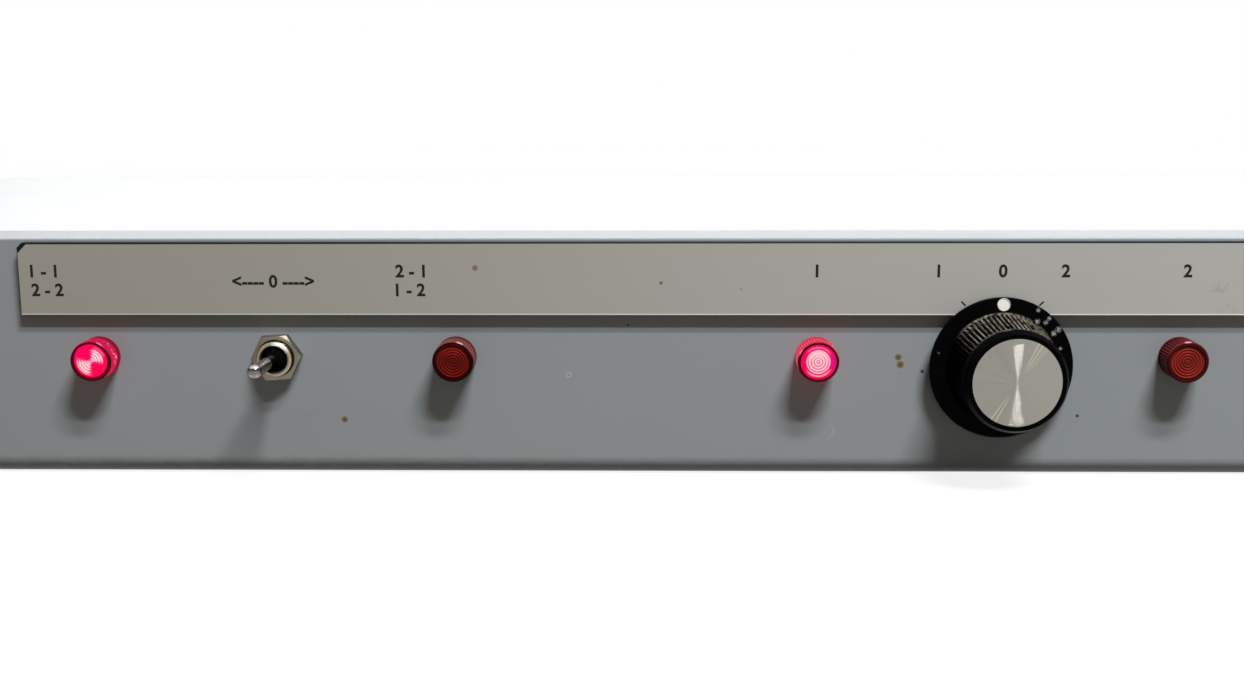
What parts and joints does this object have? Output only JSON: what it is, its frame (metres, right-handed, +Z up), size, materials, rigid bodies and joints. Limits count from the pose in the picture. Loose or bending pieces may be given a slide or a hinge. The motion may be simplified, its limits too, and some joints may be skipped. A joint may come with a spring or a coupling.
{
  "type": "audio switcher",
  "caption": "Rack-mounted audio switcher: folded panel with red lamps, toggle, rotary knob; rear audio sockets, remote, mains inlet with fuse drawer.",
  "frame": {"origin": "middle of the rack slots, on the back face of the front panel", "axes": "+X to the right seen from the front, +Y to the rear, so the front faces -Y, +Z up"},
  "size_m": [0.4826, 0.1817, 0.0436],
  "materials": {
    "panel_paint": "satin",
    "case_paint": "satin",
    "strip_laminate": "satin, brushed silver face over a black core",
    "red_lens": "translucent, fluted",
    "red_lens_lit": "translucent, fluted, lit from behind",
    "diode": "clear epoxy",
    "black_moulding": "satin",
    "knob_black": "gloss",
    "nickel": "nickel plate, slightly dulled",
    "spun_aluminium": "spun",
    "white_fill": "matt",
    "zinc_plate": "bright zinc plate",
    "brass": "turned",
    "tinned": "tinned",
    "board": "solder resist over glass fibre",
    "epoxy_black": "cast epoxy",
    "relay_case": "moulded",
    "capacitor_sleeve": "shrunk sleeve",
    "black_anodised": "black anodised",
    "socket_shell": "nickel-plated die casting",
    "contact_plate": "plated",
    "fuse_glass": "clear tube with plated caps",
    "legend_ink": "the laminate's black core, bared by engraving"
  },
  "bodies": {
    "unit": {"front_panel": "panel_paint", "panel_nuts": "zinc_plate", "chassis_tray": "case_paint", "top_cover": "case_paint", "cover_screws": "zinc_plate", "label_strip": "strip_laminate", "lamp_lens_1": "red_lens_lit", "lamp_lens_2": "red_lens", "lamp_lens_3": "red_lens_lit", "lamp_lens_4": "red_lens", "lamp_leds": "diode", "lamp_clips": "black_moulding", "toggle_bushing": "nickel", "toggle_case": "black_moulding", "toggle_nuts": "nickel", "panel_washers": "nickel", "rotary_bushing": "brass", "rotary_case": "black_moulding", "rotary_nut": "nickel", "switch_terminals": "tinned", "control_board": "board", "board_header": "tinned", "main_board": "board", "board_standoffs": "zinc_plate", "board_screws": "zinc_plate", "mains_transformer": "epoxy_black", "relays": "relay_case", "reservoir_capacitors": "capacitor_sleeve", "voltage_regulator": "epoxy_black", "regulator_heatsink": "black_anodised", "board_chips": "epoxy_black", "socket_inserts": "black_moulding", "socket_contacts": "contact_plate", "output_pins": "contact_plate", "connector_screws": "zinc_plate", "remote_shell": "nickel", "remote_insert": "black_moulding", "jackposts": "nickel", "inlet_housing": "black_moulding", "inlet_blades": "nickel", "earth_post": "brass", "input_shell_1": "socket_shell", "input_shell_2": "socket_shell", "input_shell_3": "socket_shell", "input_shell_4": "socket_shell", "output_shell_1": "socket_shell", "output_shell_2": "socket_shell"},
    "select_lever": {"toggle_lever": "nickel"},
    "mode_knob": {"knob_body": "knob_black", "knob_inlay": "spun_aluminium", "knob_pointer": "white_fill", "knob_insert": "brass", "knob_grub_screw": "black_anodised", "rotary_shaft": "zinc_plate"},
    "fuse_carrier": {"fuse_drawer": "black_moulding", "fuse_link": "fuse_glass"},
    "latch_1": {"input_latch_1": "nickel"},
    "latch_2": {"input_latch_2": "nickel"},
    "latch_3": {"input_latch_3": "nickel"},
    "latch_4": {"input_latch_4": "nickel"}
  },
  "joints": [
    {"name": "select_lever_tilt", "type": "hinge", "parent": "unit", "child": "select_lever", "pos_m": [-0.0652, -0.00295, 0.0003], "axis": [0, 0, 1], "range_deg": [-9.5, 15.5], "stiffness_Nm_per_rad": 0.25},
    {"name": "mode_knob_turn", "type": "hinge", "parent": "unit", "child": "mode_knob", "pos_m": [0.0655, -0.0016, -0.00125], "axis": [0, 1, 0], "range_deg": [-30, 30]},
    {"name": "fuse_drawer_slide", "type": "slide", "parent": "unit", "child": "fuse_carrier", "axis": [0, 1, 0], "range_m": [0, 0.025]},
    {"name": "input_latch_1_press", "type": "hinge", "parent": "unit", "child": "latch_1", "pos_m": [-0.0602, 0.1511, 0.01045], "axis": [-1, 0, 0], "range_deg": [0, 8], "stiffness_Nm_per_rad": 0.06, "springref_deg": -6.88},
    {"name": "input_latch_2_press", "type": "hinge", "parent": "unit", "child": "latch_2", "pos_m": [-0.0946, 0.1511, 0.01045], "axis": [-1, 0, 0], "range_deg": [0, 8], "stiffness_Nm_per_rad": 0.06, "springref_deg": -6.88},
    {"name": "input_latch_3_press", "type": "hinge", "parent": "unit", "child": "latch_3", "pos_m": [-0.1505, 0.1511, 0.01045], "axis": [-1, 0, 0], "range_deg": [0, 8], "stiffness_Nm_per_rad": 0.06, "springref_deg": -6.88},
    {"name": "input_latch_4_press", "type": "hinge", "parent": "unit", "child": "latch_4", "pos_m": [-0.1849, 0.1511, 0.01045], "axis": [-1, 0, 0], "range_deg": [0, 8], "stiffness_Nm_per_rad": 0.06, "springref_deg": -6.88}
  ]
}
